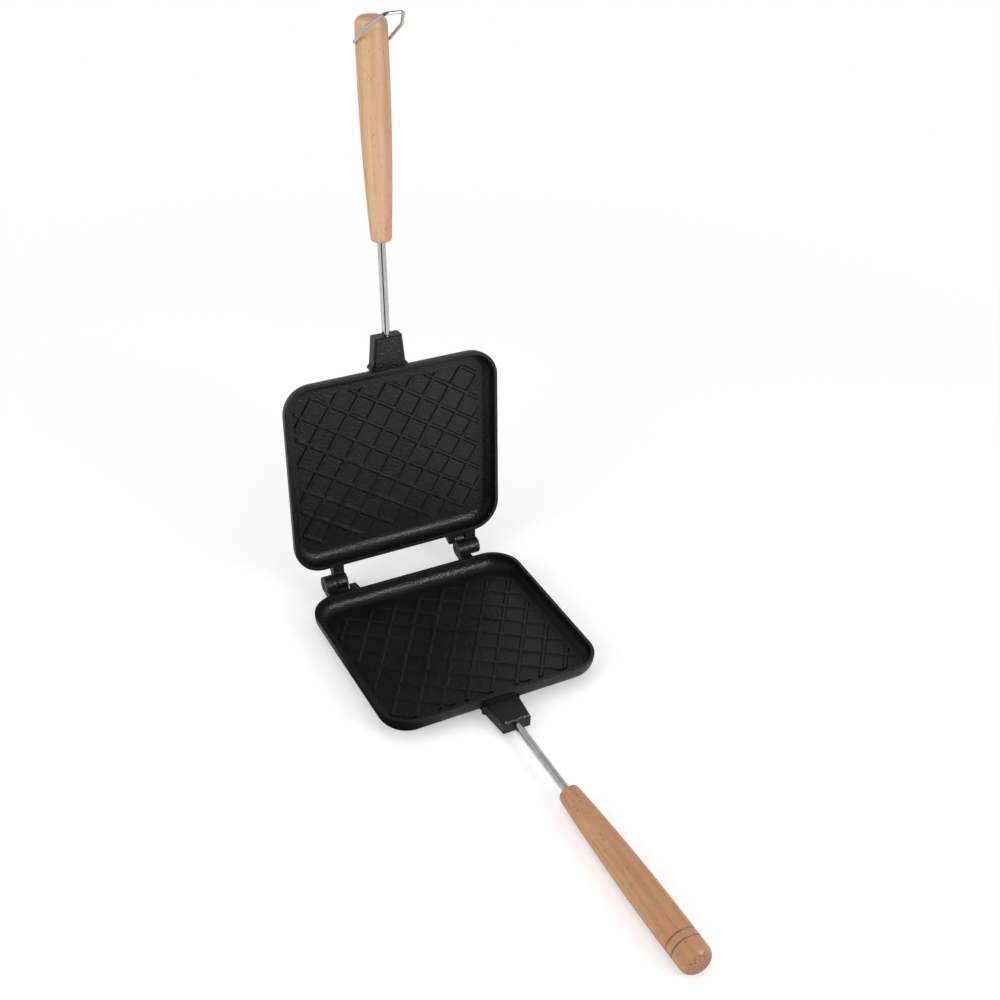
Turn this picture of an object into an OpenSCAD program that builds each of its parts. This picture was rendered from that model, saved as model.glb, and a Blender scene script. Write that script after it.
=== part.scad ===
// Sandwich pie iron: two hinged cast pans on long rods with turned handles.
// Frame: origin at the centre of the lower pan's flat bottom, +Z up,
// the hinge on the +Y side, the lower handle towards -Y. Millimetres.

/* [Pans] */
// Width of a pan across the rim, along the hinge
pan_w = 145; // [120:1:180]
// Length of a pan across the rim, from hinge side to handle side
pan_d = 128.8; // [110:0.2:170]
// Height of a pan from its flat bottom to its rim
pan_h = 13.5; // [12.5:0.1:17]
// Radius of the rim's four corners in plan
corner_r = 19; // [16:0.5:26]
// Radius of the rounding from the outer wall to the bottom
belly_r = 12; // [9:0.5:12]
// Depth of the cooking hollow below the rim
hollow_d = 9.2; // [8:0.1:9.8]
// Width of the flat lip round the rim
lip_w = 2.1; // [1.5:0.1:4]
// Radius between the hollow's wall and its floor
floor_fillet = 6.6; // [4:0.1:7]
// Draft of the hollow's wall in degrees
draft = 5; // [1:0.5:9]
// Gap left between the two rims when the iron is shut
rim_gap = 0.6; // [0.3:0.1:1.2]

/* [Diamond ribs] */
// Distance between neighbouring ribs
rib_pitch = 14.1; // [10:0.1:20]
// Angle of the first rib family against the hinge line, in degrees
rib_angle = 33.75; // [20:0.25:45]
// Width of a rib at the floor
rib_base = 3; // [2.2:0.1:4]
// Width of a rib at its top
rib_top = 1.4; // [0.8:0.1:2]
// Height of a rib above the floor
rib_h = 0.85; // [0.4:0.05:1.4]
// Distance from the handle side's outer wall to the rib field
rib_front = 12.4; // [11:0.1:20]
// Distance from the hinge side's outer wall to the rib field
rib_rear = 14.4; // [11:0.1:20]
// Distance from the side walls to the rib field
rib_side = 9.4; // [9.4:0.1:16]
// Distance of the pattern's middle from the pan's middle, towards the handle
rib_shift = 1.5; // [0:0.1:7]

/* [Rod socket] */
// Length of the socket in front of the pan
sock_l = 19.5; // [14:0.5:26]
// Width of the socket where it leaves the pan
sock_w = 22; // [18:0.5:28]
// Width of the socket at its open end
sock_end_w = 18.2; // [14:0.2:18.2]
// Height of the socket
sock_h = 9.3; // [8.4:0.1:9.4]
// Bevel along the socket's edges
sock_bevel = 1.2; // [0.6:0.1:1.6]

/* [Rods] */
// Diameter of the steel rods
rod_dia = 5; // [4:0.1:6]
// Length of rod that shows between socket and handle
rod_show = 60; // [40:0.5:160]
// Length of rod inside the socket
rod_in_sock = 17; // [10:0.5:17.5]
// Length of rod inside the handle
rod_in_handle = 42; // [25:1:60]
// Depth of the rod's axis below the rim, at the socket
rod_drop = 8.6; // [8.6:0.05:8.8]
// Angle by which each rod leans away from the other, in degrees
splay = 0.3; // [0.3:0.05:1]

/* [Handles] */
// Length of a turned handle
handle_l = 129; // [100:1:180]
// Diameter of the handle at its thickest place
handle_dia = 18.9; // [15:0.1:19]
// Diameter of the handle where the rod enters
handle_neck = 12.6; // [10:0.1:14]
// Distance of the thickest place from the rod end
handle_belly = 100; // [70:1:115]
// Rounding of the handle's outer end
end_round = 5; // [3:0.25:6.5]
// Rounding of the handle's rod end
neck_round = 1.2; // [0.5:0.1:2]
// Distance of the first turned ring from the outer end
ring_1 = 12; // [8:0.5:15]
// Distance of the second turned ring from the outer end
ring_2 = 17; // [15.5:0.5:24]
// Depth of the turned rings
ring_deep = 0.4; // [0.2:0.05:0.8]

/* [Hinge] */
// Distance of the hinge axis behind the pan's rear edge
hinge_back = 11.1; // [9.6:0.1:14]
// Outer radius of the hinge barrels
barrel_r = 5.5; // [4.8:0.1:5.6]
// Distance from the pan's side to the outer barrel's outer face
barrel_inset = 17.2; // [16.6:0.1:22.4]
// Length of each barrel along the hinge line
barrel_l = 7.35; // [6:0.05:9]
// Side gap between the two barrels of one hinge
barrel_gap = 0.3; // [0.2:0.05:0.6]
// Width of the tab beside the inner barrel
tab_w = 5.3; // [4:0.1:7]
// How far the tab reaches behind the pan's rear edge
tab_reach = 6.4; // [5:0.1:7]
// Diameter of the hinge pins
pin_dia = 4; // [3:0.1:5]
// Height of the stop heel above the barrel
heel_h = 2.1; // [1.6:0.1:2.4]
// Direction of the heel's stop edge, in degrees from straight back
heel_angle = 57.5; // [50:0.5:62]
// Width of the heel round the barrel, in degrees
heel_wide = 24; // [18:1:30]
// Angle between the two rims at the open stop
open_angle = 96.5; // [90:0.5:105]

/* [Locking bail] */
// Diameter of the bail's wire
wire_dia = 2; // [1.6:0.1:2.4]
// Distance of the bail's pivot from the handle's outer end
pivot_in = 14; // [11:0.5:18]
// Reach of the bail from its pivot to the middle of its cross wire
bail_reach = 37.5; // [34:0.5:44]
// Length of the bail's parallel legs before they draw in
bail_straight = 21; // [16:0.5:24]
// Width between wire centres at the cross wire
bail_end_w = 13; // [10:0.5:18]
// Bend radius of the wire at the cross wire
bend_r = 3.4; // [2.8:0.1:4.5]
// Angle of the bail from the handle's outward line in the photographed pose
bail_rest = 58; // [40:1:75]
// Gap between the bail's legs and the handle
bail_gap = 0.3; // [0.2:0.05:0.6]
// Length of the wire ends inside the handle
bail_in = 5; // [3:0.5:6]

/* [Fits] */
// Radial clearance of the rods in the sockets and handles
rod_fit = 0.03; // [0.02:0.01:0.06]
// Radial clearance of the turning barrels on the hinge pins
pin_run = 0.05; // [0.02:0.01:0.1]
// Radial clearance of the pins in the barrels that hold them
pin_fit = 0.02; // [0.02:0.01:0.04]
// Radial clearance of the bail's wire in its holes
bail_fit = 0.08; // [0.04:0.01:0.1]
// Gap between the heel and the web when the iron stands open
stop_gap = 0.3; // [0.2:0.05:0.5]

/* [Hidden] */
$fn = 96;
black = [0.13, 0.13, 0.135];
steel = [0.72, 0.73, 0.74];
beech = [0.85, 0.68, 0.5];
half_w = pan_w / 2;
half_d = pan_d / 2;
run_x = half_w - corner_r;
run_y = half_d - corner_r;
hinge_y = half_d + hinge_back;
axis_v = rim_gap / 2;
rod_r = rod_dia / 2;
pin_r = pin_dia / 2;
wire_r = wire_dia / 2;
// hinge
heel_r = barrel_r + heel_h;
stop_dir = heel_angle + open_angle;
web_end = heel_r * cos(stop_dir) - stop_gap;
web_top = 0.7 - heel_r * sin(stop_dir);
barrel_out = half_w - barrel_inset;
barrel_in = barrel_out - 2 * barrel_l - barrel_gap;
tab_out = barrel_in - 0.5;
tab_slant = 0.9;
pin_short = 0.3;
// rods and handles, as distances from the pan's front edge
handle_from = sock_l + rod_show;
handle_to = handle_from + handle_l;
rod_from = sock_l - rod_in_sock;
pivot_at = handle_to - pivot_in;
swell = (handle_dia - handle_neck) / 2;
swell_r = (handle_belly * handle_belly + swell * swell) / (2 * swell);
// bail
leg_x = handle_dia / 2 + bail_gap + wire_r;
pivot_bend = 1.3 * wire_r;
leg_bend = 8;
bail_ax = leg_x - bail_end_w / 2 + bend_r;
bail_ay = bail_straight - bail_reach + bend_r;
bail_c = atan2(bail_ay, bail_ax) + acos(bend_r / norm([bail_ax, bail_ay]));
bail_slope = bail_ax * sin(bail_c) - bail_ay * cos(bail_c);
bail_tl = leg_bend * tan(bail_c / 2);
// radius of the upper handle where the bail's ends enter it
pivot_s = handle_l - pivot_in;
pivot_r = handle_dia / 2 - swell_r + sqrt(swell_r * swell_r - (pivot_s - handle_belly) * (pivot_s - handle_belly));

// radius of the handle at distance s from its rod end
function handle_r(s) =
    handle_dia / 2 - swell_r + sqrt(swell_r * swell_r - (s - handle_belly) * (s - handle_belly));

// ---- placing ----

module lid_place() {
    translate([0, hinge_y, pan_h + axis_v])
        rotate([-open_angle, 0, 0])
            translate([0, -hinge_y, axis_v])
                rotate([0, 180, 0])
                    children();
}

module base_place() {
    translate([0, 0, pan_h])
        children();
}

// x along the rod from the pan's front edge becomes +Z of the child
module rod_place(at) {
    translate([0, -half_d, -rod_drop])
        rotate([splay, 0, 0])
            translate([0, -at, 0])
                rotate([90, 0, 0])
                    children();
}

// a profile drawn as (behind the hinge axis, above it), extruded along the hinge
module hinge_slice(from, to) {
    translate([from, hinge_y, axis_v])
        rotate([90, 0, 90])
            linear_extrude(to - from)
                children();
}

// ---- pan ----

module round_rect(w, d, r) {
    union() {
        square([w - 2 * r, d], center = true);
        square([w, d - 2 * r], center = true);
        for (sx = [-1, 1])
            for (sy = [-1, 1])
                translate([sx * (w / 2 - r), sy * (d / 2 - r)])
                    circle(r = r);
    }
}

// sweeps a wall profile, drawn from the corner's centre outwards, round the pan
module sweep_round() {
    for (sx = [0, 1])
        for (sy = [0, 1])
            mirror([sx, 0, 0])
                mirror([0, sy, 0])
                    translate([run_x, run_y, 0])
                        rotate_extrude(angle = 90)
                            children();
    for (sx = [0, 1])
        mirror([sx, 0, 0])
            translate([run_x, run_y, 0])
                rotate([90, 0, 0])
                    linear_extrude(2 * run_y)
                        children();
    for (sy = [0, 1])
        mirror([0, sy, 0])
            translate([-run_x, run_y, 0])
                rotate([90, 0, 90])
                    linear_extrude(2 * run_x)
                        children();
}

module outer_profile() {
    translate([0, -pan_h])
        square([corner_r - belly_r, pan_h]);
    translate([0, belly_r - pan_h])
        square([corner_r, pan_h - belly_r]);
    intersection() {
        translate([corner_r - belly_r, belly_r - pan_h])
            circle(r = belly_r);
        translate([0, -pan_h])
            square([corner_r, belly_r + 0.2]);
    }
}

module hollow_profile() {
    lip_r = corner_r - lip_w;
    fz = floor_fillet - hollow_d;
    fx = lip_r + (fz - floor_fillet * sin(draft)) * tan(draft) - floor_fillet * cos(draft);
    // the wall meets the fillet a few degrees round, just inside its circle
    meet = draft + 5;
    tx = fx + (floor_fillet - 0.01) * cos(meet);
    tz = fz - (floor_fillet - 0.01) * sin(meet);
    over = 0.5;
    polygon([[0, over], [lip_r + over * tan(draft), over], [tx, tz], [fx, fz], [fx, -hollow_d], [0, -hollow_d]]);
    intersection() {
        translate([fx, fz])
            circle(r = floor_fillet);
        translate([0, -hollow_d - 1])
            square([corner_r, hollow_d + 1 + over]);
    }
}

module pan_outer() {
    sweep_round()
        outer_profile();
    translate([-run_x, -run_y, -pan_h])
        cube([2 * run_x, 2 * run_y, pan_h]);
}

module pan_hollow() {
    sweep_round()
        hollow_profile();
    translate([-run_x, -run_y, -hollow_d])
        cube([2 * run_x, 2 * run_y, hollow_d + 0.5]);
}

module rib_bars(angle, reach, span) {
    n = floor(reach / rib_pitch);
    for (i = [-n : n])
        rotate([0, 0, angle])
            translate([-span, i * rib_pitch, 0])
                rotate([90, 0, 90])
                    linear_extrude(2 * span)
                        polygon([[-rib_base / 2, -0.5], [rib_base / 2, -0.5], [rib_base / 2, 0],
                                 [rib_top / 2, rib_h], [-rib_top / 2, rib_h], [-rib_base / 2, 0]]);
}

module ribs() {
    fw = pan_w - 2 * rib_side;
    fd = pan_d - rib_front - rib_rear;
    fy = (rib_front - rib_rear) / 2;
    hx = fw / 2;
    hy = fd / 2 + abs(fy + rib_shift);
    intersection() {
        translate([0, fy, -hollow_d - 0.5])
            linear_extrude(rib_h + 1)
                round_rect(fw, fd, corner_r - rib_side);
        translate([0, -rib_shift, -hollow_d]) {
            rib_bars(-rib_angle, hx * sin(rib_angle) + hy * cos(rib_angle), norm([hx, hy]) + rib_base);
            rib_bars(90 - rib_angle, hx * cos(rib_angle) + hy * sin(rib_angle), norm([hx, hy]) + rib_base);
        }
    }
}

// ---- rod socket ----

// one tapered flank of the socket, bevelled at both edges
module sock_flank(lean, into) {
    top = sock_h / 2;
    translate([sock_w / 2, -half_d, -rod_drop])
        rotate([0, 0, -lean])
            translate([0, into, 0])
                rotate([90, 0, 0])
                    linear_extrude(into + sock_l + 3)
                        polygon([[-2 * sock_w, -top], [-sock_bevel, -top], [0, sock_bevel - top],
                                 [0, top - sock_bevel], [-sock_bevel, top], [-2 * sock_w, top]]);
}

module socket() {
    lean = atan((sock_w - sock_end_w) / 2 / sock_l);
    top = sock_h / 2;
    into = belly_r + 0.3;
    foot = 1.6;
    foot_h = top - sock_bevel - 0.4;
    end_bevel = 0.7 * sock_bevel;
    intersection() {
        sock_flank(lean, into);
        mirror([1, 0, 0])
            sock_flank(lean, into);
        translate([-sock_w, -half_d, -rod_drop])
            rotate([90, 0, 90])
                linear_extrude(2 * sock_w)
                    polygon([[into, -top], [into, top], [end_bevel - sock_l, top], [-sock_l, top - end_bevel],
                             [-sock_l, end_bevel - top], [end_bevel - sock_l, -top]]);
    }
    // small feet where the socket's flanks run into the pan's wall
    translate([0, -half_d, -rod_drop - foot_h])
        linear_extrude(2 * foot_h)
            polygon([[-sock_w / 2 - foot, 1], [-sock_w / 2 - foot, 0.2], [0.4 - sock_w / 2, -foot - 0.6],
                     [sock_w / 2 - 0.4, -foot - 0.6], [sock_w / 2 + foot, 0.2], [sock_w / 2 + foot, 1]]);
}

// ---- hinge ----

module arm_profile() {
    into = hinge_back + 5;
    polygon([[-into, 3.4 - pan_h], [0, 0.4 - barrel_r], [0, -1.2], [-into, -1.2]]);
}

module heel_profile() {
    a = heel_angle;
    b = heel_angle - heel_wide;
    sunk = barrel_r - 0.5;
    polygon([[pin_r + 0.5, 0], [sunk * cos(b - 4), sunk * sin(b - 4)], [heel_r * cos(b + 5), heel_r * sin(b + 5)],
             [heel_r * cos(a), heel_r * sin(a)], [(pin_r + 0.5) * cos(a), (pin_r + 0.5) * sin(a)]]);
}

// barrel that holds its casting's own pin
module outer_barrel() {
    difference() {
        hinge_slice(-barrel_out, barrel_l - barrel_out) {
            circle(r = barrel_r);
            arm_profile();
        }
        hinge_slice(-barrel_out - 1, barrel_l - barrel_out + 1)
            circle(r = pin_r + pin_fit);
    }
}

// barrel that turns on the other casting's pin, with its stop heel
module inner_barrel() {
    difference() {
        hinge_slice(barrel_in, barrel_in + barrel_l) {
            circle(r = barrel_r);
            arm_profile();
            heel_profile();
        }
        hinge_slice(barrel_in - 1, barrel_in + barrel_l + 1)
            circle(r = pin_r + pin_run);
    }
}

// tab beside the other casting's inner barrel, and the low web the heel stops on
module tab_and_web() {
    into = hinge_back + 5;
    reach = tab_reach - hinge_back;
    intersection() {
        hinge_slice(-tab_out, tab_w - tab_out)
            polygon([[-into, -8.6], [-hinge_back, -8.6], [reach, -2.7], [reach, -0.1 - axis_v], [-into, -0.1 - axis_v]]);
        translate([-tab_out, hinge_y, -pan_h])
            linear_extrude(2 * pan_h)
                polygon([[0, -into], [tab_w, -into], [tab_w, -hinge_back], [tab_w - tab_slant, reach], [0, reach]]);
    }
    hinge_slice(0.7 - barrel_out, tab_w - tab_slant - tab_out - 0.4)
        polygon([[-into, -9], [-hinge_back, -9], [web_end, web_top - 3.2], [web_end, web_top], [-into, web_top]]);
}

module hinge_pin() {
    hinge_slice(pin_short - barrel_out, -barrel_in - pin_short)
        circle(r = pin_r);
}

// ---- castings ----

module casting() {
    difference() {
        union() {
            pan_outer();
            socket();
            outer_barrel();
            inner_barrel();
            tab_and_web();
        }
        pan_hollow();
        rod_place(rod_from - 0.3)
            cylinder(r = rod_r + rod_fit, h = sock_l + 5);
    }
    ribs();
}

// ---- rods and handles ----

module rod() {
    rod_place(rod_from)
        cylinder(r = rod_r, h = handle_from - rod_from + rod_in_handle);
}

module handle_profile(rings) {
    ne = handle_r(neck_round);
    oe = handle_r(handle_l - end_round);
    run = handle_l - neck_round - end_round;
    steps = 20;
    difference() {
        intersection() {
            union() {
                polygon(concat([[0, neck_round]],
                               [for (i = [0 : steps]) let (s = neck_round + i * run / steps) [handle_r(s), s]],
                               [[0, neck_round + run]]));
                square([ne - neck_round, handle_l / 2]);
                translate([ne - neck_round, neck_round])
                    circle(r = neck_round);
                translate([0, handle_l / 2])
                    square([oe - end_round, handle_l / 2]);
                translate([oe - end_round, handle_l - end_round])
                    circle(r = end_round);
            }
            square([handle_dia, handle_l]);
        }
        if (rings)
            for (s = [ring_1, ring_2])
                translate([handle_r(handle_l - s), handle_l - s])
                    circle(r = ring_deep);
    }
}

module handle(rings) {
    difference() {
        rod_place(handle_from)
            rotate_extrude()
                handle_profile(rings);
        rod_place(handle_from - 1)
            cylinder(r = rod_r + rod_fit, h = rod_in_handle + 1.3);
        if (!rings)
            rod_place(pivot_at)
                rotate([0, 90, 0])
                    cylinder(r = wire_r + bail_fit, h = 2 * handle_dia, center = true);
    }
}

// ---- bail ----

// points of an arc in the bail's plane
function arc(c, r, from, to, n) =
    [for (i = [0 : n]) let (a = from + (to - from) * i / n) [c[0] + r * cos(a), c[1] + r * sin(a)]];

// one half of the wire's middle line: the pivots lie on the X axis, the reach runs along +Y
function bail_half() =
    let (c = bail_c, bx = bail_end_w / 2 - bend_r, leg_to = bail_straight - bail_tl)
    concat(arc([bx, bail_reach - bend_r], bend_r, 90, c, 9),
           arc([leg_x - leg_bend, leg_to], leg_bend, c, 0, 3),
           arc([leg_x - pivot_bend, pivot_bend], pivot_bend, 0, -90, 6),
           [[pivot_r - bail_in / 3, 0]]);

function mirrored(pts) = [for (i = [len(pts) - 1 : -1 : 0]) [-pts[i][0], pts[i][1]]];

function unit(v) = v / norm(v);

// direction of the wire at point i of its line
function heading(pts, i) =
    i == 0 ? unit(pts[1] - pts[0]) :
    i == len(pts) - 1 ? unit(pts[i] - pts[i - 1]) :
    unit(unit(pts[i] - pts[i - 1]) + unit(pts[i + 1] - pts[i]));

// a round wire along a line that stays in one plane
module wire(pts, r, sides) {
    n = len(pts);
    rings = [for (i = [0 : n - 1])
        let (h = heading(pts, i))
        for (k = [0 : sides - 1])
            let (a = 360 * k / sides)
            [pts[i][0] - h[1] * r * cos(a), pts[i][1] + h[0] * r * cos(a), r * sin(a)]];
    skin = [for (i = [0 : n - 2])
        for (k = [0 : sides - 1])
            let (a = i * sides + k, b = i * sides + (k + 1) % sides)
            for (t = [[a, a + sides, b + sides], [a, b + sides, b]])
                t];
    first = [for (k = [1 : sides - 2]) [0, k, k + 1]];
    last = [for (k = [1 : sides - 2]) [(n - 1) * sides, (n - 1) * sides + k + 1, (n - 1) * sides + k]];
    polyhedron(points = rings, faces = concat(skin, first, last), convexity = 6);
}

// the wire's straight ends, which turn in the handle's cross hole
module bail_ends() {
    for (s = [0, 1])
        mirror([s, 0, 0])
            translate([pivot_r - bail_in, 0, 0])
                rotate([0, 90, 0])
                    cylinder(r = wire_r, h = leg_x - pivot_bend - pivot_r + bail_in - 0.1);
}

// ---- the pieces ----

module lower_pan() {
    color(black)
        base_place()
            casting();
}

module upper_pan() {
    color(black)
        lid_place()
            casting();
}

module lower_hinge_pin() {
    color(steel)
        base_place()
            hinge_pin();
}

module upper_hinge_pin() {
    color(steel)
        lid_place()
            hinge_pin();
}

module lower_rod() {
    color(steel)
        base_place()
            rod();
}

module upper_rod() {
    color(steel)
        lid_place()
            rod();
}

module lower_handle() {
    color(beech)
        base_place()
            handle(true);
}

module upper_handle() {
    color(beech)
        lid_place()
            handle(false);
}

module bail() {
    color(steel)
        lid_place()
            translate([0, -half_d, -rod_drop])
                rotate([splay, 0, 0])
                    translate([0, -pivot_at, 0])
                        rotate([180 - bail_rest, 0, 0]) {
                            wire(concat(mirrored(bail_half()), bail_half()), wire_r * 1.012, 24);
                            bail_ends();
                        }
}

lower_pan();
upper_pan();
lower_hinge_pin();
upper_hinge_pin();
lower_rod();
upper_rod();
lower_handle();
upper_handle();
bail();
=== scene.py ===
"""Sandwich pie iron, dressed for the photograph: black pans, steel rods, beech handles and a wire bail.

Everything stands in metres in the part's own frame: the origin is the middle of the lower pan's flat
bottom, +Z is up, the hinge is on the +Y side and the lower handle points to -Y. The pieces' sizes are
written in millimetres, as in the part's source, and turned into metres where a mesh is made. The floor, the
lamps, the camera and the patterns of the materials are in metres.
"""

import math

import bpy
import numpy as np
from mathutils import Matrix


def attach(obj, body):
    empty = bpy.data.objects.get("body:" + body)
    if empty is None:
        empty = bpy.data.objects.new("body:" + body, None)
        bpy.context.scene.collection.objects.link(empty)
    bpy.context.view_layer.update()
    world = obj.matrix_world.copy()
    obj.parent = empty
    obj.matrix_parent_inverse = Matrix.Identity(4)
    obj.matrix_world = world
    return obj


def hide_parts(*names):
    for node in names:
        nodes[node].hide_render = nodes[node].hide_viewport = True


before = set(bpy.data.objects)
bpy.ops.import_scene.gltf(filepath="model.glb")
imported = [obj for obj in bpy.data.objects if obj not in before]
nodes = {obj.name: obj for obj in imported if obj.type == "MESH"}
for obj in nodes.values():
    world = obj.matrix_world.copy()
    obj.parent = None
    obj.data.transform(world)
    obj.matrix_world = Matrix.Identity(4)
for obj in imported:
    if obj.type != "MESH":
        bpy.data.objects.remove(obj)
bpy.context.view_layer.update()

# Sizes, in millimetres and degrees, as in the part's source
PAN_D, PAN_H, RIM_GAP, PAN_BELLY_R = 128.8, 13.5, 0.6, 12.0
HINGE_BACK, OPEN_ANGLE = 11.1, 96.5
SOCKET, ROD_SHOWS, ROD_DROP, SPLAY = 19.5, 60.0, 8.6, 0.3
ROD_R, BORE_DEEP = 2.5, 42.3
HANDLE_L, HANDLE_D, NECK_D, BELLY_AT = 129.0, 18.9, 12.6, 100.0
END_ROUND, NECK_ROUND = 5.0, 1.2
RINGS, RING_DEEP = (12.0, 17.0), 0.4
WIRE_R, PIVOT_IN, BAIL_REACH, BAIL_STRAIGHT, BAIL_END_W = 1.0, 14.0, 37.5, 21.0, 13.0
END_BEND, LEG_BEND, PIVOT_BEND, BAIL_REST, BAIL_IN, BAIL_GAP = 3.4, 8.0, 1.3, 58.0, 5.0, 0.3

# Sizes for the looks alone, in millimetres: a turned handle's bore and its chamfer, and how soft a ring is
BORE_R, BORE_MOUTH, RING_WIDE = 2.55, 0.4, 0.34
# Where the painted shade starts, how far end grain shows at the end and the neck, and half a burnt ring's
# width
FALLOFF_SHADE_FROM, END_GRAIN, NECK_GRAIN, BURN = 45.0, 2.6, 1.1, 0.8

# Sizes that follow from those
HALF_D = PAN_D / 2
HINGE_Y = HALF_D + HINGE_BACK
AXIS_V = RIM_GAP / 2
HANDLE_FROM = SOCKET + ROD_SHOWS
PIVOT_AT = HANDLE_FROM + HANDLE_L - PIVOT_IN
LEG_X = HANDLE_D / 2 + BAIL_GAP + WIRE_R
SWELL = (HANDLE_D - NECK_D) / 2
SWELL_R = (BELLY_AT ** 2 + SWELL ** 2) / (2 * SWELL)


# Placing

def shift(x, y, z):
    """4x4 matrix that moves a point by (x, y, z)."""
    m = np.eye(4)
    m[:3, 3] = (x, y, z)
    return m


def turn(axis, degrees):
    """4x4 matrix that turns a point about the x or y axis, by degrees in the plane of the other two."""
    a = math.radians(degrees)
    i, j = {"x": (1, 2), "y": (2, 0)}[axis]
    m = np.eye(4)
    m[i, i] = m[j, j] = math.cos(a)
    m[i, j], m[j, i] = -math.sin(a), math.sin(a)
    return m


# The base stands as it is made. The lid is the same half turned over, then swung open about the hinge.
BASE = shift(0, 0, PAN_H)
TURNED_OVER = shift(0, -HINGE_Y, AXIS_V) @ turn("y", 180)
LID = shift(0, HINGE_Y, PAN_H + AXIS_V) @ turn("x", -OPEN_ANGLE) @ TURNED_OVER


def along_rod(at):
    """Frame with +Z along the rod, its origin `at` millimetres in front of the pan's edge."""
    return shift(0, -HALF_D, -ROD_DROP) @ turn("x", SPLAY) @ shift(0, -at, 0) @ turn("x", 90)


def placed(points, matrix):
    """Points (n, 3) in millimetres carried by a 4x4 matrix, in metres."""
    return (points @ matrix[:3, :3].T + matrix[:3, 3]) / 1000


# Meshes from whole arrays

def in_scene(name, data):
    """New object for a mesh, lamp or camera, linked into the scene."""
    holder = bpy.data.objects.new(name, data)
    bpy.context.scene.collection.objects.link(holder)
    return holder


def tube_faces(rows, turns):
    """Quads of `rows` rings of `turns` points: ring i joins ring i + 1, and its last point its first."""
    i, k = np.meshgrid(np.arange(rows - 1), np.arange(turns), indexing="ij")
    a, b = i * turns + k, i * turns + (k + 1) % turns
    return np.stack([a, b, b + turns, a + turns], -1).reshape(-1, 4)


def new_piece(name, points, quads, tris, body, material, stands_for, own=None):
    """Makes one piece from arrays of points, quads and triangles, and says what it rides on and stands for.

    `own` holds each point's place in the piece's own frame, for a grain that follows the piece."""
    mesh = bpy.data.meshes.new(name)
    loops = np.concatenate([quads.ravel(), tris.ravel()]).astype(np.int32)
    starts = np.concatenate([4 * np.arange(len(quads)), 4 * len(quads) + 3 * np.arange(len(tris))])
    mesh.vertices.add(len(points))
    mesh.vertices.foreach_set("co", points.astype(np.float32).ravel())
    mesh.loops.add(len(loops))
    mesh.loops.foreach_set("vertex_index", loops)
    mesh.polygons.add(len(starts))
    mesh.polygons.foreach_set("loop_start", starts.astype(np.int32))
    mesh.polygons.foreach_set("use_smooth", np.ones(len(starts), bool))
    mesh.update(calc_edges=True)
    mesh.validate()
    if own is not None:
        layer = mesh.attributes.new("own", "FLOAT_VECTOR", "POINT")
        layer.data.foreach_set("vector", own.astype(np.float32).ravel())
    mesh.materials.append(material)
    piece = in_scene(name, mesh)
    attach(piece, body)
    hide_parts(*stands_for)
    return piece


def fan(first, turns, pole, outward):
    """Triangles that close a ring of `turns` points, starting at index `first`, onto a pole."""
    k = np.arange(turns)
    a, b = first + k, first + (k + 1) % turns
    p = np.full(turns, pole)
    return np.stack([a, b, p] if outward else [b, a, p], -1)


# Shader helpers

class Wires:
    """Adds nodes to one node tree and joins them; a value can be a number, a tuple or a socket."""

    def __init__(self, tree):
        self.tree = tree

    def add(self, kind, inputs=(), **settings):
        """One node, with its settings and its inputs by name or number."""
        node = self.tree.nodes.new(kind)
        for key, value in settings.items():
            setattr(node, key, value)
        for key, value in dict(inputs).items():
            self.put(node.inputs[key], value)
        return node

    def put(self, socket, value):
        """Joins a socket to another, or sets its value."""
        if isinstance(value, bpy.types.NodeSocket):
            self.tree.links.new(value, socket)
        else:
            socket.default_value = value

    def maths(self, operation, a, b=0.0):
        """Sum, difference or the like of two numbers."""
        return self.add("ShaderNodeMath", {0: a, 1: b}, operation=operation).outputs[0]

    def times(self, a, b):
        """Product of two numbers."""
        return self.maths("MULTIPLY", a, b)

    def vector(self, operation, a, b=(0, 0, 0), out="Vector"):
        """Sum, difference, product, length or direction of vectors."""
        return self.add("ShaderNodeVectorMath", {0: a, 1: b}, operation=operation).outputs[out]

    def noise(self, vector, scale, detail=3.0, rough=0.55, out="Fac"):
        """Noise of `scale` waves to the unit, with finer waves on top as detail and rough say."""
        inputs = {"Vector": vector, "Scale": scale, "Detail": detail, "Roughness": rough}
        return self.add("ShaderNodeTexNoise", inputs).outputs[out]

    def spread(self, value, low, high, to_low=0.0, to_high=1.0):
        """Value from low..high carried smoothly onto to_low..to_high, and held at the ends."""
        node = self.add("ShaderNodeMapRange", {0: value, 1: low, 2: high, 3: to_low, 4: to_high},
                        interpolation_type="SMOOTHSTEP")
        return node.outputs[0]

    def blend(self, factor, a, b):
        """Colour a at factor 0, colour b at factor 1."""
        node = self.add("ShaderNodeMix", data_type="RGBA")
        for index, value in ((0, factor), (6, a), (7, b)):
            self.put(node.inputs[index], value)
        return node.outputs[2]

    def stretched(self, vector, scale, moved=(0, 0, 0)):
        """A vector scaled along each axis, then moved."""
        inputs = {"Vector": vector, "Scale": scale, "Location": moved}
        return self.add("ShaderNodeMapping", inputs).outputs[0]

    def waves(self, vector, across, along, detail, rough=0.55, moved=(0, 0, 0), lie="z"):
        """Noise with `along` waves to the metre on the axis it lies along, and `across` on the other two."""
        scale = [along if axis == lie else across for axis in "xyz"]
        return self.noise(self.stretched(vector, scale, moved), 1.0, detail, rough)


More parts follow.
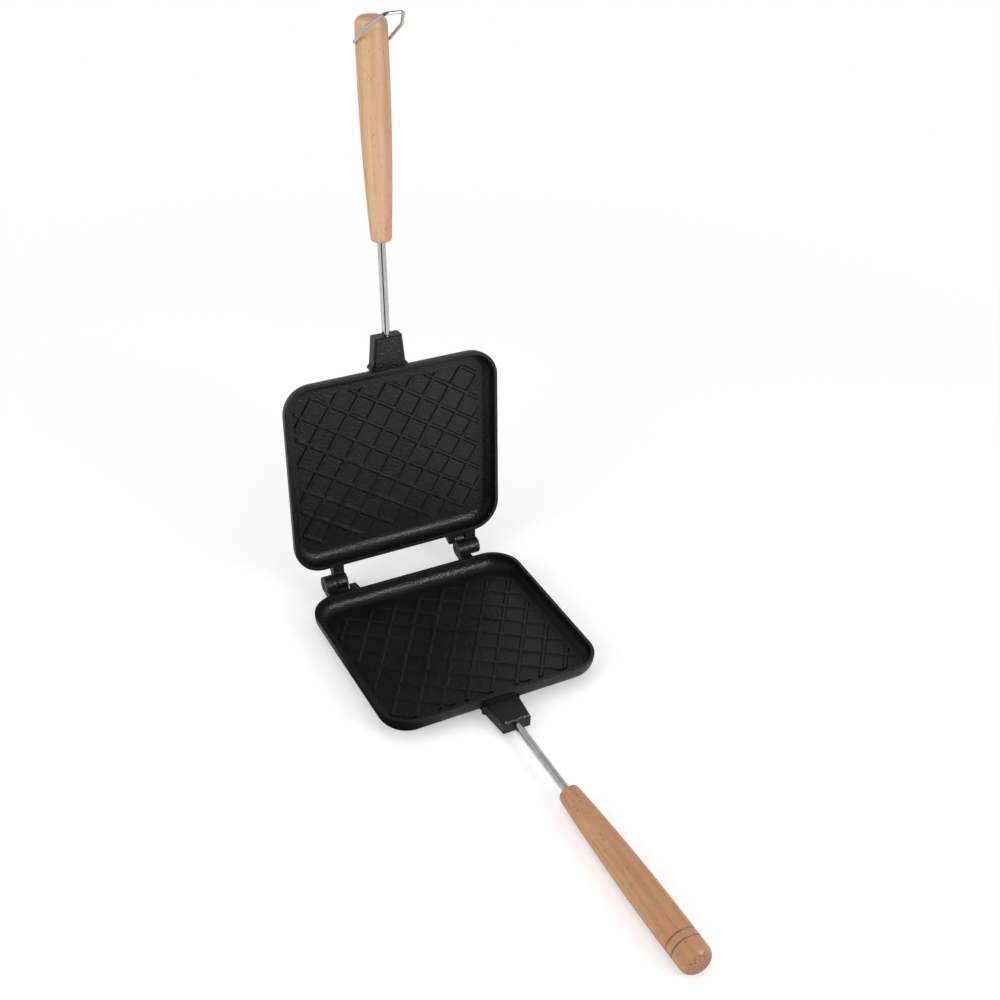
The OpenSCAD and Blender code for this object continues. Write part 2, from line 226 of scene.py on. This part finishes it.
def group(name, inputs, outputs):
    """Empty node group with named float, colour or vector sockets; returns its wires and its two ends."""
    kinds = {"f": "NodeSocketFloat", "c": "NodeSocketColor", "v": "NodeSocketVector"}
    tree = bpy.data.node_groups.new(name, "ShaderNodeTree")
    for key, kind in inputs:
        tree.interface.new_socket(key, in_out="INPUT", socket_type=kinds[kind])
    for key, kind in outputs:
        tree.interface.new_socket(key, in_out="OUTPUT", socket_type=kinds[kind])
    w = Wires(tree)
    return w, w.add("NodeGroupInput"), w.add("NodeGroupOutput")


def cleared(owner, end):
    """Empties the node tree of a material or world; returns its wires and its new output node."""
    owner.use_nodes = True
    owner.node_tree.nodes.clear()
    w = Wires(owner.node_tree)
    return w, w.add(end)


def finish_of(name, metallic=0.0, **constants):
    """Material with one Principled shader; constants go on the shader's own sockets."""
    material = bpy.data.materials.new(name)
    w, out = cleared(material, "ShaderNodeOutputMaterial")
    shader = w.add("ShaderNodeBsdfPrincipled", {"Metallic": metallic, **constants})
    w.put(out.inputs[0], shader.outputs[0])
    return material, w, shader


def use_group(w, tree, **inputs):
    """One use of a node group in a material; returns its outputs."""
    return w.add("ShaderNodeGroup", inputs, node_tree=tree).outputs


# Effects, each a node group

def coat_grain():
    """Sprayed coating: 1.4 mm waves of peel and a finer pebble as height, thin spots, clouds of shine."""
    w, given, out = group("sprayed coat", [("Vector", "v")],
                          [("Height", "f"), ("Thin", "f"), ("Cloud", "f")])
    v = given.outputs["Vector"]
    peel = w.noise(v, scale=720.0, detail=1.0, rough=0.5)
    pebble = w.noise(v, scale=1500.0, detail=1.0, rough=0.5)
    height = w.maths("ADD", w.times(peel, 0.75), w.times(pebble, 0.25))
    cloud = w.noise(v, scale=28.0, detail=3.0, rough=0.55)
    thin = w.spread(w.noise(v, scale=240.0, detail=4.0, rough=0.7), 0.6, 0.78)
    w.put(out.inputs["Height"], height)
    w.put(out.inputs["Thin"], thin)
    w.put(out.inputs["Cloud"], cloud)
    return w.tree


def beech_grain():
    """Turned beech: slow bands along the blank, thin lines, warmer patches, and the rays' short flecks."""
    colours = [(key, "c") for key in ("Pale", "Deep", "Flush", "Fleck")]
    w, given, out = group("beech grain", [("Vector", "v")] + colours,
                          [("Color", "c"), ("Height", "f"), ("Flecks", "f")])
    v = given.outputs["Vector"]
    wander = w.stretched(w.noise(v, scale=22.0, detail=2.0, out="Color"), (0.002, 0.002, 0.004))
    warped = w.vector("ADD", v, wander)
    bands = w.waves(warped, across=190.0, along=9.0, detail=2.0, rough=0.5)
    lines = w.waves(warped, across=1250.0, along=34.0, detail=3.0, rough=0.6)
    patches = w.waves(warped, across=150.0, along=16.0, detail=2.0, rough=0.5, moved=(3, 1, 2))

    def rays(across, along, low, high):
        """Spots at the middles of cells, so many across and along a metre, where a slow noise is high."""
        inputs = {"Vector": w.stretched(warped, (across, across, along)), "Scale": 1.0, "Randomness": 1.0}
        cells = w.add("ShaderNodeTexVoronoi", inputs, feature="F1").outputs["Distance"]
        rare = w.spread(w.waves(v, across * 0.3, along * 0.3, detail=2.0), low, high)
        return w.times(w.spread(cells, 0.34, 0.12), rare)

    large = rays(across=820.0, along=210.0, low=0.46, high=0.60)
    small = rays(across=1700.0, along=430.0, low=0.42, high=0.55)
    flecks = w.maths("MAXIMUM", large, w.times(small, 0.7))
    tone = w.blend(w.spread(bands, 0.34, 0.66), given.outputs["Pale"], given.outputs["Deep"])
    tone = w.blend(w.times(w.spread(lines, 0.42, 0.68), 0.5), tone, given.outputs["Deep"])
    tone = w.blend(w.times(w.spread(patches, 0.46, 0.66), 0.75), tone, given.outputs["Flush"])
    tone = w.blend(w.times(flecks, 0.7), tone, given.outputs["Fleck"])
    height = w.maths("SUBTRACT", w.times(lines, 0.6), w.times(flecks, 0.5))
    w.put(out.inputs["Color"], tone)
    w.put(out.inputs["Height"], height)
    w.put(out.inputs["Flecks"], flecks)
    return w.tree


COAT = coat_grain()
BEECH = beech_grain()


# Materials

def black_coating():
    """Cast aluminium under a black release coating: near black, satin, pebbled, with rounded cast edges."""
    thick, plain, thin = (0.0045, 0.0045, 0.0047, 1), (0.0070, 0.0070, 0.0072, 1), (0.014, 0.014, 0.0144, 1)
    material, w, shader = finish_of("black release coating", **{"Specular IOR Level": 0.46})
    spot = w.add("ShaderNodeTexCoord").outputs["Object"]
    coat = use_group(w, COAT, Vector=spot)
    rounded = w.add("ShaderNodeBevel", {"Radius": 0.0003}, samples=6).outputs[0]
    relief = {"Strength": 1.0, "Distance": 0.0005, "Height": coat["Height"], "Normal": rounded}
    bump = w.add("ShaderNodeBump", relief)
    black = w.blend(w.spread(coat["Cloud"], 0.3, 0.7), thick, plain)
    black = w.blend(w.times(coat["Thin"], 0.5), black, thin)
    w.put(shader.inputs["Base Color"], black)
    w.put(shader.inputs["Roughness"], w.spread(coat["Cloud"], 0.3, 0.7, 0.31, 0.38))
    w.put(shader.inputs["Normal"], bump.outputs[0])
    return material


def drawn_steel(name, tone, smooth, rough):
    """Steel drawn to size: faint lines along the rod, and a roughness that wanders from smooth to rough."""
    material, w, shader = finish_of(name, metallic=1.0)
    spot = w.add("ShaderNodeTexCoord").outputs["Object"]
    lines = w.waves(spot, across=2600.0, along=60.0, detail=3.0, rough=0.6, lie="y")
    smear = w.noise(spot, scale=90.0, detail=3.0, rough=0.6)
    dimmed = tuple(0.86 * part for part in tone[:3]) + (1,)
    colour = w.blend(w.spread(smear, 0.3, 0.7), tone, dimmed)
    bump = w.add("ShaderNodeBump", {"Strength": 0.12, "Distance": 0.00005, "Height": lines})
    w.put(shader.inputs["Base Color"], colour)
    uneven = w.maths("ADD", w.times(lines, 0.5), w.times(smear, 0.5))
    w.put(shader.inputs["Roughness"], w.spread(uneven, 0.3, 0.7, smooth, rough))
    w.put(shader.inputs["Normal"], bump.outputs[0])
    return material


def beech(name, pale, deep, flush, fleck, rings=False):
    """Lacquered beech, painted shade toward its thick end, mottled end grain, and burnt rings where asked.
    """
    lacquer = {"Coat Weight": 0.2, "Coat Roughness": 0.25, "Specular IOR Level": 0.4}
    material, w, shader = finish_of(name, **lacquer)
    own = w.add("ShaderNodeAttribute", attribute_name="own").outputs["Vector"]
    grain = use_group(w, BEECH, Vector=own, Pale=pale, Deep=deep, Flush=flush, Fleck=fleck)
    along = w.add("ShaderNodeSeparateXYZ", {0: own}).outputs["Z"]
    # Painted shade: the wood darkens by up to 0.3 toward its thick end, for the light falling off away from
    # the pans
    painted_falloff_shade = w.times(w.spread(along, FALLOFF_SHADE_FROM / 1000, HANDLE_L / 1000), 0.30)
    colour = w.blend(painted_falloff_shade, grain["Color"], deep)
    end = w.spread(along, (HANDLE_L - END_GRAIN) / 1000, (HANDLE_L - 0.4) / 1000)
    neck = w.spread(along, NECK_GRAIN / 1000, 0.0001)
    mottle = w.waves(own, across=900.0, along=200.0, detail=5.0, rough=0.72)
    cut = w.blend(w.spread(mottle, 0.38, 0.62), deep, fleck)
    colour = w.blend(w.times(w.maths("MAXIMUM", end, neck), 0.8), colour, cut)
    if rings:
        for at in RINGS:
            off = w.maths("ABSOLUTE", w.maths("SUBTRACT", along, (HANDLE_L - at) / 1000))
            burnt = w.times(w.spread(off, BURN / 1000, 0.0001), w.spread(mottle, 0.3, 0.6, 0.35, 0.8))
            colour = w.blend(burnt, colour, (0.15, 0.06, 0.025, 1))
    bump = w.add("ShaderNodeBump", {"Strength": 0.25, "Distance": 0.00015, "Height": grain["Height"]})
    w.put(shader.inputs["Base Color"], colour)
    w.put(shader.inputs["Roughness"], w.spread(grain["Flecks"], 0.0, 1.0, 0.46, 0.62))
    w.put(shader.inputs["Normal"], bump.outputs[0])
    return material


BLACK = black_coating()
ROD_STEEL = drawn_steel("drawn rod steel", (0.86, 0.85, 0.83, 1), smooth=0.10, rough=0.17)
WIRE_STEEL = drawn_steel("bright wire", (0.76, 0.74, 0.73, 1), smooth=0.10, rough=0.17)
PIN_STEEL = drawn_steel("blackened pin steel", (0.10, 0.10, 0.105, 1), smooth=0.34, rough=0.44)
UPPER_BEECH = beech("pale beech", pale=(0.81, 0.53, 0.305, 1), deep=(0.67, 0.40, 0.215, 1),
                    flush=(0.80, 0.48, 0.30, 1), fleck=(0.45, 0.22, 0.105, 1))
LOWER_BEECH = beech("rosy beech", pale=(0.67, 0.385, 0.185, 1), deep=(0.49, 0.25, 0.12, 1),
                    flush=(0.60, 0.275, 0.155, 1), fleck=(0.24, 0.10, 0.045, 1), rings=True)


# CAD pieces that stay

def dress(node, material):
    """Gives a CAD piece its material without touching its mesh."""
    for held in nodes[node].material_slots:
        held.link = "OBJECT"
        held.material = material


for node in ("lower_pan", "upper_pan"):
    dress(node, BLACK)
for node in ("lower_rod", "upper_rod"):
    dress(node, ROD_STEEL)
for node in ("lower_hinge_pin", "upper_hinge_pin"):
    dress(node, PIN_STEEL)


# Handles

def handle_radius(s):
    """Radius at s from the neck, an arc with its top at the belly: d/2 - R + sqrt(R^2 - (s - belly)^2)."""
    return HANDLE_D / 2 - SWELL_R + np.sqrt(SWELL_R ** 2 - (s - BELLY_AT) ** 2)


def handle_outline(rings):
    """Distance along and radius of the turned outline, from the bottom of the rod's bore to the far pole.

    The bore's wall and its chamfered mouth, a flat neck face, a quarter circle of the neck's rounding, the
    swelling arc less a soft groove of depth * exp(-(offset / width)^2) at each ring, and a quarter circle
    of the end's rounding down to the flat end face."""
    neck_turn, end_turn = np.linspace(0, math.pi / 2, 13), np.linspace(0, math.pi / 2, 25)
    face_edge = 0.05
    neck_r = handle_radius(NECK_ROUND) - NECK_ROUND
    end_r = handle_radius(HANDLE_L - END_ROUND) - END_ROUND
    near_ring = np.linspace(-1.4, 1.4, 29)
    s = np.unique(np.concatenate([np.linspace(NECK_ROUND, HANDLE_L - END_ROUND, 90)]
                                 + [HANDLE_L - at + near_ring for at in RINGS]))
    r = handle_radius(s)
    if rings:
        for at in RINGS:
            r = r - RING_DEEP * np.exp(-((s - HANDLE_L + at) / RING_WIDE) ** 2)
    along = [[BORE_DEEP, BORE_MOUTH, 0.0, 0.0],
             NECK_ROUND * (1 - np.cos(neck_turn)),
             s[1:-1],
             HANDLE_L - END_ROUND + END_ROUND * np.sin(end_turn),
             [HANDLE_L, HANDLE_L]]
    radius = [[BORE_R, BORE_R, ROD_R + BORE_MOUTH, neck_r - face_edge],
              neck_r + NECK_ROUND * np.sin(neck_turn),
              r[1:-1],
              end_r + END_ROUND * np.cos(end_turn),
              [end_r * 0.6, end_r * 0.2]]
    return np.concatenate(along), np.concatenate(radius)


def turned_handle(name, body, matrix, material, rings):
    """Revolved surface: point(s, a) = (r(s) cos a, r(s) sin a, s), with poles at the end and the bore."""
    turns = 96
    along, radius = handle_outline(rings)
    a = np.linspace(0, 2 * math.pi, turns, endpoint=False)
    x, y = radius[:, None] * np.cos(a), radius[:, None] * np.sin(a)
    grid = np.stack([x, y, np.broadcast_to(along[:, None], x.shape)], -1).reshape(-1, 3)
    points = np.vstack([grid, [[0, 0, HANDLE_L], [0, 0, BORE_DEEP]]])
    quads = tube_faces(len(along), turns)
    end = fan((len(along) - 1) * turns, turns, len(grid), True)
    bore = fan(0, turns, len(grid) + 1, False)
    where = placed(points, matrix @ along_rod(HANDLE_FROM))
    return new_piece(name, where, quads, np.vstack([end, bore]), body, material,
                     [name.replace("turned_", "")], own=points / 1000)


turned_handle("turned_lower_handle", "base", BASE, LOWER_BEECH, rings=True)
turned_handle("turned_upper_handle", "lid", LID, UPPER_BEECH, rings=False)


# Bail

def rounded_line(corners, radii, steps):
    """Line through corners, each bend an arc of radius r that starts r / tan(half) before its corner.

    Seen from its centre, an arc of angle w is (sin((1 - t) w) start + sin(t w) stop) / sin(w)."""
    parts = [corners[:1]]
    for before, at, after, r, n in zip(corners[:-2], corners[1:-1], corners[2:], radii, steps):
        u, v = (before - at) / np.linalg.norm(before - at), (after - at) / np.linalg.norm(after - at)
        half = math.acos(np.clip(np.dot(u, v), -1, 1)) / 2
        centre = at + (u + v) / np.linalg.norm(u + v) * r / math.sin(half)
        start, stop = at + u * r / math.tan(half) - centre, at + v * r / math.tan(half) - centre
        w = math.pi - 2 * half
        t = np.linspace(0, 1, n)[:, None]
        parts.append(centre + (np.sin((1 - t) * w) * start + np.sin(t * w) * stop) / math.sin(w))
    parts.append(corners[-1:])
    return np.vstack(parts)


def bail_line():
    """Middle line of the wire in its own plane: pegs on the X axis, reach along +Y.

    `slope` is the angle at which a leg leaves its straight part, so that it meets the end bend's arc."""
    bx, by = LEG_X - BAIL_END_W / 2 + END_BEND, BAIL_STRAIGHT - BAIL_REACH + END_BEND
    slope = math.atan2(by, bx) + math.acos(END_BEND / math.hypot(bx, by))
    end_x = LEG_X - (BAIL_REACH - BAIL_STRAIGHT) * math.tan(slope)
    pivot_r = float(handle_radius(HANDLE_L - PIVOT_IN))
    half = np.array([[pivot_r - BAIL_IN, 0], [LEG_X, 0], [LEG_X, BAIL_STRAIGHT], [end_x, BAIL_REACH]])
    corners = np.vstack([half * [-1, 1], half[::-1]])
    bends, steps = [PIVOT_BEND, LEG_BEND, END_BEND], [12, 8, 16]
    return rounded_line(corners, bends + bends[::-1], steps + steps[::-1])


def wire_bail():
    """Tube along the wire's line, flat at its ends: point(i, a) = c(i) + r (cos a side(i) + sin a up)."""
    line = bail_line()
    way = np.gradient(line, axis=0)
    way[0], way[-1] = line[1] - line[0], line[-1] - line[-2]
    way /= np.linalg.norm(way, axis=1)[:, None]
    turns = 24
    a = np.linspace(0, 2 * math.pi, turns, endpoint=False)
    side = np.stack([-way[:, 1], way[:, 0]], 1)
    xy = line[:, None, :] + WIRE_R * np.cos(a)[None, :, None] * side[:, None, :]
    z = np.broadcast_to(WIRE_R * np.sin(a), xy.shape[:2])
    grid = np.concatenate([xy, z[..., None]], -1).reshape(-1, 3)
    poles = np.array([[*line[0], 0], [*line[-1], 0]])
    points = np.vstack([grid, poles])
    quads = tube_faces(len(line), turns)
    first = fan(0, turns, len(grid), False)
    last = fan((len(line) - 1) * turns, turns, len(grid) + 1, True)
    matrix = LID @ along_rod(PIVOT_AT) @ turn("x", 90 - BAIL_REST)
    return new_piece("wire_bail", placed(points, matrix), quads, np.vstack([first, last]), "bail_loop",
                     WIRE_STEEL, ["bail"])


wire_bail()


# Floor, light and camera

# In metres: where the lamps aim, and where the camera stands and aims. The camera leans to one side by
# CAMERA_ROLL degrees, and its focal length is given in pixels of a frame FRAME_PIXELS wide.
LAMPS_AIM = np.array([0, 0, 0.1])
CAMERA_AT, CAMERA_AIM = np.array([-0.33324, -0.62438, 0.59581]), np.array([0.06081, 0.05634, 0.06])
CAMERA_ROLL, FOCAL_PIXELS, FRAME_PIXELS = 3.337, 1462.91, 1000


def aim_back(holder, way, place, roll=0.0):
    """Places a lamp or camera with its back toward `way` and its right level, then rolls it by degrees."""
    back = way / np.linalg.norm(way)
    level = np.cross((0, 0, 1.0), back)
    level /= np.linalg.norm(level)
    steep = np.cross(back, level)
    a = math.radians(roll)
    right, up = math.cos(a) * level + math.sin(a) * steep, math.cos(a) * steep - math.sin(a) * level
    holder.matrix_world = Matrix(np.stack([right, up, back, place], 1).tolist() + [[0, 0, 0, 1]])


def resting_floor():
    """A wide pale floor, on which the iron stands with its rear bottom edge and its lower handle's belly."""
    belly = placed(np.array([[0.0, 0.0, BELLY_AT]]), BASE @ along_rod(HANDLE_FROM))[0]
    rear = (HALF_D - PAN_BELLY_R) / 1000
    lean = math.atan2(HANDLE_D / 2000 - belly[2], rear - belly[1])
    half, below = 6.0, 0.0002
    x, y = half * np.array([-1, 1, 1, -1]), half * np.array([-1, -1, 1, 1])
    z = (y - rear) * math.tan(lean) - below
    mesh = bpy.data.meshes.new("floor")
    mesh.from_pydata(np.stack([x, y, z], 1).tolist(), [], [(0, 1, 2, 3)])
    mesh.update()
    piece = in_scene("floor", mesh)
    mesh.materials.append(floor_finish())


def floor_finish():
    """Matt white that takes the object's shadow, and fades to plain white light from 0.3 to 0.75 m out.

    Near the object it glows a little for the camera. In a gloss its front is dark, and it can't be seen from
    below."""
    white, gloom = (0.86, 0.86, 0.86, 1), (0.04, 0.04, 0.04, 1)
    front, front_from = (-0.50, -0.866, 0.0), (0.0, 0.10, 0.0)
    material = bpy.data.materials.new("white studio floor")
    w, out = cleared(material, "ShaderNodeOutputMaterial")
    path = w.add("ShaderNodeLightPath")
    seen = path.outputs["Is Camera Ray"]
    spot = w.add("ShaderNodeTexCoord").outputs["Object"]
    way = w.vector("NORMALIZE", w.vector("SUBTRACT", spot, front_from))
    toward = w.vector("DOT_PRODUCT", way, front, out="Value")
    shade = w.times(w.spread(toward, 0.93, 0.985), path.outputs["Is Glossy Ray"])
    matt = w.add("ShaderNodeBsdfDiffuse", {"Color": w.blend(shade, white, gloom)})
    glow = w.add("ShaderNodeEmission", {"Color": (1, 1, 1, 1), "Strength": w.times(seen, 0.36)})
    near = w.add("ShaderNodeAddShader", {0: matt.outputs[0], 1: glow.outputs[0]})
    plain = w.maths("SUBTRACT", w.spread(seen, 0.0, 1.0, 0.6, 1.0), w.times(shade, 0.55))
    light = w.add("ShaderNodeEmission", {"Color": (1, 1, 1, 1), "Strength": plain})
    far = w.spread(w.vector("LENGTH", spot, out="Value"), 0.3, 0.75)
    faded = w.add("ShaderNodeMixShader", {0: far, 1: near.outputs[0], 2: light.outputs[0]})
    under = w.add("ShaderNodeNewGeometry").outputs["Backfacing"]
    clear = w.add("ShaderNodeBsdfTransparent")
    one_sided = w.add("ShaderNodeMixShader", {0: under, 1: faded.outputs[0], 2: clear.outputs[0]})
    w.put(out.inputs[0], one_sided.outputs[0])
    return material


def white_world():
    """White surroundings: 1 for the camera, half that as light, darker in a gloss in front and overhead."""
    front = (-0.49, -0.85, 0.18)
    world = bpy.data.worlds.new("white studio")
    bpy.context.scene.world = world
    w, out = cleared(world, "ShaderNodeOutputWorld")
    back = w.add("ShaderNodeBackground", {"Color": (1, 1, 1, 1)})
    path = w.add("ShaderNodeLightPath")
    way = w.add("ShaderNodeTexCoord").outputs["Generated"]
    glossy = path.outputs["Is Glossy Ray"]
    toward = w.vector("DOT_PRODUCT", way, front, out="Value")
    height = w.add("ShaderNodeSeparateXYZ", {0: way}).outputs["Z"]
    mirrored = w.times(w.spread(toward, 0.45, 0.85, 0.48, 0.05), w.spread(height, 0.60, 0.88, 1.0, 0.55))
    gloss = w.times(glossy, mirrored)
    plain = w.times(w.maths("SUBTRACT", 1.0, glossy), 0.5)
    seen = w.maths("MAXIMUM", path.outputs["Is Camera Ray"], path.outputs["Is Transmission Ray"])
    w.put(back.inputs["Strength"], w.maths("MAXIMUM", w.maths("MAXIMUM", seen, gloss), plain))
    w.put(out.inputs[0], back.outputs[0])


def soft_box(name, way, distance, size, watts, in_gloss=True, in_matte=True):
    """Square lamp at a direction and distance from its aim, seen in gloss, by matte surfaces or both."""
    way = np.array(way) / np.linalg.norm(way)
    lamp = bpy.data.lights.new(name, "AREA")
    lamp.shape = "SQUARE"
    lamp.size = size
    lamp.energy = watts
    holder = in_scene(name, lamp)
    holder.visible_glossy = in_gloss
    holder.visible_diffuse = in_matte
    aim_back(holder, way, LAMPS_AIM + way * distance)


def photo_camera():
    """The photograph's camera, placed by the outlines of the pans and handles."""
    camera = bpy.data.cameras.new("photo camera")
    camera.sensor_width = 36.0
    camera.lens = FOCAL_PIXELS * camera.sensor_width / FRAME_PIXELS
    camera.clip_start, camera.clip_end = 0.05, 50
    holder = in_scene("photo camera", camera)
    aim_back(holder, CAMERA_AT - CAMERA_AIM, CAMERA_AT, CAMERA_ROLL)
    bpy.context.scene.camera = holder


resting_floor()
white_world()
soft_box("right box", (0.42, -0.82, 0.39), distance=1.2, size=0.36, watts=3.7)
soft_box("gloss card", (0.42, -0.82, 0.37), distance=1.2, size=0.28, watts=3.2, in_matte=False)
soft_box("left box", (-0.95, -0.25, 0.45), distance=1.2, size=0.7, watts=4.8, in_gloss=False)
soft_box("top box", (-0.1, 0.1, 1.0), distance=1.5, size=1.0, watts=3.2, in_gloss=False)
photo_camera()
bpy.context.scene.view_settings.view_transform = "Standard"
